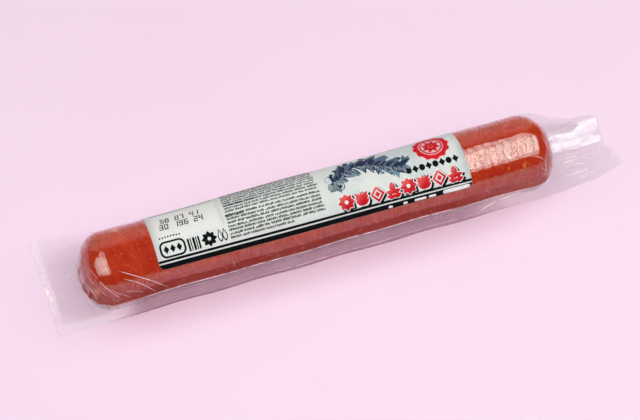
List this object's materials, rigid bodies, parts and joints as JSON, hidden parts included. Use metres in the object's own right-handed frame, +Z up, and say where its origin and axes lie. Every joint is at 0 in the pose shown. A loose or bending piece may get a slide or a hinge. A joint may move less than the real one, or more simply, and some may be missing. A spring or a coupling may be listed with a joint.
{
  "type": "cured sausage",
  "caption": "Cured sausage sealed in clear shrunk film with a thin seam all round, crumpled film tails at its ends and a paper label over its top.",
  "frame": {"origin": "bottom centre of the pack's bounding box, on the surface that the sausage lies on", "axes": "+X along the sausage towards its more crumpled film tail, -Y towards the label's lower edge, +Z up through the label"},
  "size_m": [0.324, 0.063, 0.0438],
  "materials": {
    "sausage": "gloss",
    "film": "gloss",
    "label_paper": "satin",
    "label_print": "satin"
  },
  "bodies": {
    "root": {"vacuum_pack": "sausage", "label": "label_paper"}
  },
  "joints": []
}
